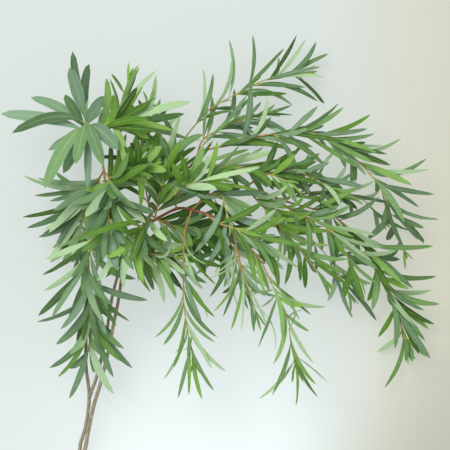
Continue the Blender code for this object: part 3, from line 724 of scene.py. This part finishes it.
def budLeaves(line, draw):
    heading = (line[-1] - line[-2]).normalized()
    start = draw.uniform(0, fullTurn)
    leaves = []
    for number in range(bud["count"]):
        outwards = outwardsFrom(heading, start + number * bud["turn"])
        length = draw.uniform(*bud["length"])
        spread = bud["firstSpread"] + bud["spreadStep"] * number
        tip = line[-1] + (heading + outwards * spread).normalized() * length
        tip.z = max(tip.z, bud["lowest"])
        bend = leafBend(line[-1], tip, heading, draw.uniform(*bud["sway"]), bud["arch"])
        leaves.append({"base": line[-1] - heading * bud["spacing"] * number, "tip": tip, "bend": bend,
                       "roll": draw.uniform(*bud["roll"]), "width": draw.uniform(*bud["width"])})
    return leaves


def newObject(name, shape, materials, placing=Matrix()):
    mesh = bpy.data.meshes.new(name)
    shape.to_mesh(mesh)
    shape.free()
    mesh.transform(placing)
    for surface in materials:
        mesh.materials.append(surface)
    made = bpy.data.objects.new(name, mesh)
    bpy.context.scene.collection.objects.link(made)
    return made


def finishPiece(name, shape, placing, materials, node):
    piece = newObject(name, shape, materials, placing)
    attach(piece, "root")
    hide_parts(node)


class Signal:
    # A shader value: an expression on it adds Math nodes
    def __init__(self, finish, socket):
        self.finish = finish
        self.socket = socket

    def math(self, operation, *others):
        values = {index: value for index, value in enumerate((self, *others))}
        return self.finish.add("ShaderNodeMath", {"operation": operation}, values)

    def __add__(self, other):
        return self.math("ADD", other)

    def __sub__(self, other):
        return self.math("SUBTRACT", other)

    def __rsub__(self, other):
        return self.math("MULTIPLY", -1).math("ADD", other)

    def __mul__(self, other):
        return self.math("MULTIPLY", other)

    def __abs__(self):
        return self.math("ABSOLUTE")

    __radd__ = __add__
    __rmul__ = __mul__


class Finish:
    # One procedural material, built from nodes
    def __init__(self, name):
        self.material = bpy.data.materials.new(name)
        self.material.use_nodes = True
        self.tree = self.material.node_tree
        self.surface = self.tree.nodes["Principled BSDF"]

    def add(self, kind, settings, values, output=0):
        node = self.tree.nodes.new(kind)
        for key, value in settings.items():
            setattr(node, key, value)
        for key, value in values.items():
            self.put(node.inputs[key], value)
        return Signal(self, node.outputs[output])

    def put(self, target, value):
        if isinstance(value, Signal):
            self.tree.links.new(value.socket, target)
        elif isinstance(value, tuple) and target.type == "RGBA":
            target.default_value = (*value, 1)
        else:
            target.default_value = value

    def shader(self, key, value):
        self.put(self.surface.inputs[key], value)

    def mix(self, factor, first, second):
        return self.add("ShaderNodeMix", {"data_type": "RGBA"}, {0: factor, 6: first, 7: second}, 2)

    def step(self, value, start, end):  # rises smoothly from 0 at start to 1 at end
        return self.add("ShaderNodeMapRange", {"interpolation_type": "SMOOTHSTEP"},
                        {0: value, 1: start, 2: end, 3: 0.0, 4: 1.0})

    def noise(self, vector, scale, detail=3.0):
        return self.add("ShaderNodeTexNoise", {}, {"Vector": vector, "Scale": scale, "Detail": detail})

    def split(self, vector):
        parts = self.add("ShaderNodeSeparateXYZ", {}, {0: vector})
        outputs = parts.socket.node.outputs
        return [Signal(self, outputs[axis]) for axis in range(3)]

    def tones(self):
        tone = self.add("ShaderNodeAttribute", {"attribute_name": "tone"}, {}, "Vector")
        return self.split(tone)

    def objectPlace(self):
        return self.add("ShaderNodeTexCoord", {}, {}, "Object")

    def ownMap(self):
        return self.add("ShaderNodeUVMap", {"uv_map": "surfaceMap"}, {})

    def bump(self, height, strength, distance):
        raised = self.add("ShaderNodeBump", {}, {"Strength": strength, "Distance": distance,
                                                 "Height": height})
        self.shader("Normal", raised)


# Leaf colours, from the shade side of an old leaf to the bloom of a young one
leafColours = {
    "deepGreen": (0.026, 0.078, 0.005),
    "midGreen": (0.078, 0.190, 0.014),
    "brightGreen": (0.185, 0.350, 0.045),
    "bloom": (0.182, 0.285, 0.203),
    "underside": (0.40, 0.54, 0.33),
    "midrib": (0.36, 0.50, 0.15),
    "petiole": (0.40, 0.40, 0.09),
    "edge": (0.24, 0.42, 0.09),
}


def leafFinish():
    finish = Finish("leafSurface")
    across, along, _ = finish.split(finish.ownMap())
    green, bloom, underside = finish.tones()
    place = finish.objectPlace()
    fromMidrib = abs(across * 2 - 1)
    mottle = finish.noise(place, 160, 4)
    cells = finish.noise(place, 1400, 2)
    midrib = (1 - finish.step(fromMidrib, 0.05, 0.17)) * (1 - along * 0.55)
    veins = finish.step((along * 165 + fromMidrib * -24).math("SINE"), 0.55, 1.0)
    freshness = green + mottle * 0.3 - 0.15
    colour = finish.mix(finish.step(freshness, 0.1, 0.6), leafColours["deepGreen"], leafColours["midGreen"])
    colour = finish.mix(finish.step(freshness, 0.55, 1.05), colour, leafColours["brightGreen"])
    colour = finish.mix(bloom + mottle * 0.3 - 0.15, colour, leafColours["bloom"])
    # The pale underside colour, also on the upper faces of pale leaves, where it is partly painted
    # highlight
    colour = finish.mix(underside * 0.72, colour, leafColours["underside"])
    colour = finish.mix(veins * 0.1, colour, leafColours["midrib"])
    colour = finish.mix(finish.step(fromMidrib, 0.86, 1.0) * 0.25, colour, leafColours["edge"])
    colour = finish.mix(midrib * 0.4, colour, leafColours["midrib"])
    colour = finish.mix(1 - finish.step(along, 0.02, 0.16), colour, leafColours["petiole"])
    finish.shader("Base Color", colour)
    finish.shader("Roughness", 0.4 + mottle * 0.16 + bloom * 0.12)
    finish.bump(veins * 0.5 + cells * 0.35 - midrib * 0.8, 0.35, 0.0002)
    finish.shader("Specular IOR Level", 0.22)
    finish.shader("Subsurface Weight", 0.18)
    finish.shader("Subsurface Radius", (0.4, 1.0, 0.2))
    finish.shader("Subsurface Scale", 0.0012)
    return finish.material


# Bark colours by age: the foot of the branch, red and orange limbs, and green new growth
barkColours = {
    "old": (0.20, 0.165, 0.105),
    "oldLight": (0.40, 0.36, 0.26),
    "red": (0.16, 0.045, 0.018),
    "orange": (0.34, 0.18, 0.055),
    "young": (0.38, 0.36, 0.09),
    "pore": (0.5, 0.42, 0.28),
}


def barkFinish():
    finish = Finish("barkSurface")
    around, length, _ = finish.split(finish.ownMap())
    age = finish.tones()[0]
    place = finish.objectPlace()
    streakPlace = finish.add("ShaderNodeCombineXYZ", {}, {0: around * 9, 1: length * 0.9, 2: age * 20})
    streaks = finish.noise(streakPlace, 1.6, 5)
    grain = finish.noise(place, 900, 4)
    patches = finish.noise(place, 60, 2)
    patchyAge = age + patches * 0.2 - 0.1
    colour = finish.mix(finish.step(streaks, 0.42, 0.66), barkColours["old"], barkColours["oldLight"])
    for start, end, name in ((0.18, 0.42, "red"), (0.45, 0.66, "orange"), (0.7, 0.95, "young")):
        colour = finish.mix(finish.step(patchyAge, start, end), colour, barkColours[name])
    pores = finish.step(finish.noise(streakPlace, 6.5, 1), 0.68, 0.74)
    colour = finish.mix(pores * 0.45, colour, barkColours["pore"])
    finish.shader("Base Color", colour)
    finish.shader("Roughness", 0.72 - age * 0.22 + grain * 0.12)
    finish.bump(streaks * 0.8 + grain * 0.4 + pores * 0.5, 0.5, 0.0003)
    return finish.material


cutColours = {"wood": (0.62, 0.52, 0.33), "ring": (0.42, 0.32, 0.18), "pith": (0.28, 0.2, 0.11)}


def cutFinish():
    finish = Finish("cutSurface")
    fromPith = finish.split(finish.ownMap())[0]
    fibres = finish.noise(finish.objectPlace(), 1800, 3)
    rings = finish.step((fromPith * 21 + fibres * 1.5).math("SINE"), 0.2, 1.0)
    colour = finish.mix(rings * 0.6, cutColours["wood"], cutColours["ring"])
    colour = finish.mix(1 - finish.step(fromPith, 0.1, 0.2), colour, cutColours["pith"])
    finish.shader("Base Color", colour)
    finish.shader("Roughness", 0.75 + fibres * 0.15)
    finish.bump(fibres + rings * 0.5, 0.6, 0.0002)
    return finish.material


# The woody stem, foot to tips. Ages run from 0, old bark, to 1, green bark
stemShape = {
    "sides": 14,
    "ringEvery": 2.0,
    "roughness": 0.06,
    "roughSize": 7,
    "seedStep": 9,
    "nodeSwell": 0.22,
    "nodeReach": 3.5,
    "agePower": 1.3,
    "ages": {"lower_stem": (0.0, 0.05), "left_limb": (0.05, 1.0), "middle_limb": (0.05, 0.62),
             "right_limb": (0.05, 0.58), "far_limb": (0.5, 0.66)},
    "cutBevel": 0.35,
    "cutHeight": 0.15,
    "cutRim": 0.92,
}


def stemPiece(roots, placing, materials):
    shape = newShape()
    for number, (name, (start, end, route)) in enumerate(limbs.items()):
        line = evenLine(route, stemShape["ringEvery"])
        radii = taper(len(line), start, end)
        atFoot, atTip = stemShape["ages"][name]
        seed = Vector((number * stemShape["seedStep"], 0, 0))
        tones = []
        for index, place in enumerate(line):
            bumps = noise.noise(place / stemShape["roughSize"] + seed)
            radii[index] *= 1 + stemShape["roughness"] * bumps
            nearest = min((place - root["place"]).length for root in roots.values())
            radii[index] *= 1 + stemShape["nodeSwell"] * math.exp(-(nearest / stemShape["nodeReach"]) ** 2)
            share = (index / (len(line) - 1)) ** stemShape["agePower"]
            tones.append((atFoot + (atTip - atFoot) * share, 0.0, 0.0, 1.0))
        caps = addTube(shape, line, radii, stemShape["sides"], tones)
        if name == "lower_stem":
            cutEnd(shape, caps, line[0])
    finishPiece("woodyStem", shape, placing, materials, "woody_stem")


def cutEnd(shape, caps, centre):  # the clean diagonal cut, with its rings
    cut = min(caps, key=lambda face: (face.calc_center_median() - centre).length)
    barkMap = layersOf(shape)[0]
    inner = bmesh.ops.inset_region(shape, faces=[cut], thickness=stemShape["cutBevel"],
                                   depth=stemShape["cutHeight"])["faces"]
    rings = bmesh.ops.poke(shape, faces=[cut])["faces"]
    middle = max({vertex for face in rings for vertex in face.verts}, key=lambda item: len(item.link_faces))
    for face in [*inner, *rings]:
        face.material_index = 2
        for corner in face.loops:
            corner[barkMap].uv = (0.0 if corner.vert == middle else stemShape["cutRim"], 0.0)


# The sprays: how far each leaf's colour strays from its spray's own, and the share of leaves
# whose upper face takes the pale underside colour: partly leaves turned over, partly painted highlight
sprayLook = {
    "seed": 9,
    "paleHighlightShare": 0.16,
    "greenStray": (-0.6, 0.35),
    "bloomStray": (-0.35, 0.3),
    "blueGreen": ("spray_rosette", "spray_centre"),
}


def leafTone(leaf, spray, draw):  # freshness, bloom and paleness
    isPaleHighlight = draw.random() < sprayLook["paleHighlightShare"] and not spray.get("blunt")
    green = spray["green"] + draw.uniform(*sprayLook["greenStray"])
    bloom = spray["bloom"] + draw.uniform(*sprayLook["bloomStray"])
    pale = 1.0 if isPaleHighlight else leaf.get("pale", 0.0)
    return min(1.0, max(0.0, green)), min(1.0, max(0.0, bloom)), pale


def sprayMesh(name, leaves, route, line, seed, draw):
    spray = sprays[name]
    shape = newShape()
    outline = leafShape["blunt" if spray.get("blunt") else "lance"]
    for leaf in leaves:
        addLeaf(shape, leaf, outline, leafTone(leaf, spray, draw), draw)
    addTwig(shape, route, [leaf["base"] for leaf in leaves], seed)
    budTone = (bud["green"], spray["bloom"] * bud["bloomShare"], 0.0)
    for leaf in budLeaves(line, draw):
        addLeaf(shape, leaf, leafShape["lance"], budTone, draw)
    return shape


# The pale floor, in metres. Its tones by place are painted light and shade: lighter towards the foot's end,
# darker and warmer to the right, darkest in the corner between the two; and it glows, which is painted
# light.
# A fade says where a tone starts and where it is full, and an end where the warm tones stop
floorShape = {
    "size": 4.0,
    "glow": 3.0,
    "endAcross": (0.25, 0.42),
    "endAlong": (0.28, 0.45),
    "rightFade": (0.06, 0.24),
    "rightLean": 0.06,
    "lowFade": (-0.1, 0.25),
    "leftFade": (0.06, 0.22),
    "leftShare": 0.6,
    "shadedCornerFade": (0.2, 0.46),
    "shadedCornerShare": 0.8,
    "far": (0.161, 0.173, 0.165),
    "near": (0.215, 0.237, 0.237),
    "right": (0.152, 0.152, 0.124),
    "corner": (0.112, 0.112, 0.091),
}


def floorFinish():
    finish = Finish("floorSurface")
    across, along, _ = finish.split(finish.objectPlace())
    withinAcross = 1 - finish.step(abs(across), *floorShape["endAcross"])
    nearby = withinAcross * (1 - finish.step(abs(along), *floorShape["endAlong"]))
    right = finish.step(across - along * floorShape["rightLean"], *floorShape["rightFade"]) * nearby
    low = finish.step(along * -1, *floorShape["lowFade"])
    left = finish.step(across * -1, *floorShape["leftFade"])
    # The corner's darker tone is painted shade
    corner = finish.step(across - along, *floorShape["shadedCornerFade"]) * nearby
    # The tones by place below are painted light and shade on the floor
    ground = finish.mix(low, floorShape["far"], floorShape["near"])
    ground = finish.mix(left * floorShape["leftShare"], ground, floorShape["far"])
    ground = finish.mix(right, ground, floorShape["right"])
    ground = finish.mix(corner * floorShape["shadedCornerShare"], ground, floorShape["corner"])
    finish.shader("Base Color", ground)
    # The floor glows though it is no lamp: painted light that brightens it and washes out the branch's
    # shadows on it
    finish.shader("Emission Color", ground)
    finish.shader("Emission Strength", floorShape["glow"])
    finish.shader("Roughness", 0.9)
    return finish.material


def addFloor():
    shape = bmesh.new()
    bmesh.ops.create_grid(shape, x_segments=1, y_segments=1, size=floorShape["size"])
    newObject("paleFloor", shape, [floorFinish()])


# Soft light from two large panels and a pale room, in metres and watts
lighting = {
    "panels": (("keyPanel", (-0.7, 0.9, 1.7), 1.2, 36.0), ("fillPanel", (1.1, -0.5, 1.5), 1.8, 6.0)),
    "room": (0.93, 0.97, 0.98),
    "roomStrength": 0.68,
}


def addLights():
    for name, place, size, power in lighting["panels"]:
        panel = bpy.data.lights.new(name, "AREA")
        panel.shape = "SQUARE"
        panel.size = size
        panel.energy = power
        lamp = bpy.data.objects.new(name, panel)
        lamp.location = place
        lamp.rotation_euler = (-Vector(place)).to_track_quat("-Z", "Y").to_euler()
        bpy.context.scene.collection.objects.link(lamp)
    world = bpy.data.worlds.new("paleRoom")
    world.use_nodes = True
    room = world.node_tree.nodes["Background"]
    room.inputs["Color"].default_value = (*lighting["room"], 1)
    room.inputs["Strength"].default_value = lighting["roomStrength"]
    bpy.context.scene.world = world
    bpy.context.scene.view_settings.view_transform = "Standard"


# The camera looks straight down, with the picture's framing of the foliage
view = {"height": 2.3, "focusHeight": 0.06, "pictureWidth": 0.45, "sensor": 36.0}


def addCamera(planOrigin):
    camera = bpy.data.objects.new("camera", bpy.data.cameras.new("camera"))
    camera.data.sensor_width = view["sensor"]
    camera.data.lens = view["sensor"] * (view["height"] - view["focusHeight"]) / view["pictureWidth"]
    camera.location = (planOrigin.x, planOrigin.y, view["height"])
    bpy.context.scene.collection.objects.link(camera)
    bpy.context.scene.camera = camera


def planShift(grown):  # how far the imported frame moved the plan, read from one spray's box
    name = "spray_front_left"
    lows = [shell(plainLeaf(leaf, plainLance), name)["low"] for leaf in grown[name]]
    low = Vector([min(values) for values in zip(*lows)]) * growth["millimetre"]
    return Vector(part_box(name)[0]) - low


def main():
    places = limbPlaces()
    roots = {name: twigRoot(spray["route"], places) for name, spray in sprays.items()}
    routes = {name: twigRoute(spray, roots[name]) for name, spray in sprays.items()}
    twigs = {name: smoothLine(route, 1) for name, route in routes.items()}
    shells = woodShells(roots, twigs)
    draw = random.Random(leafRule["seed"])
    grown = {name: growLeaves(name, twigs[name], shells, draw) for name in sprays}
    shift = planShift(grown)
    shells += curtains(twigs)
    draw = random.Random(moreLeaf["seed"])
    more = {name: growMoreLeaves(name, twigs[name], shells, draw) for name in sprays}
    print("leaves placed:", sum(map(len, grown.values())), "and", sum(map(len, more.values())), "more")

    placing = Matrix.Translation(shift) @ Matrix.Scale(growth["millimetre"], 4)
    materials = [leafFinish(), barkFinish(), cutFinish()]
    stemPiece(roots, placing, materials)
    print("stem shaped")
    draw = random.Random(sprayLook["seed"])
    for number, name in enumerate(sprays):
        shape = sprayMesh(name, grown[name] + more[name], [roots[name]["place"], *routes[name]],
                          twigs[name], number * twigShape["seedStep"], draw)
        pieceName = "spray" + name.removeprefix("spray").title().replace("_", "")
        finishPiece(pieceName, shape, placing, materials, name)
    print("sprays shaped:", len(sprays))
    addFloor()
    addLights()
    addCamera(shift)
    print("floor, lights and camera placed")


main()
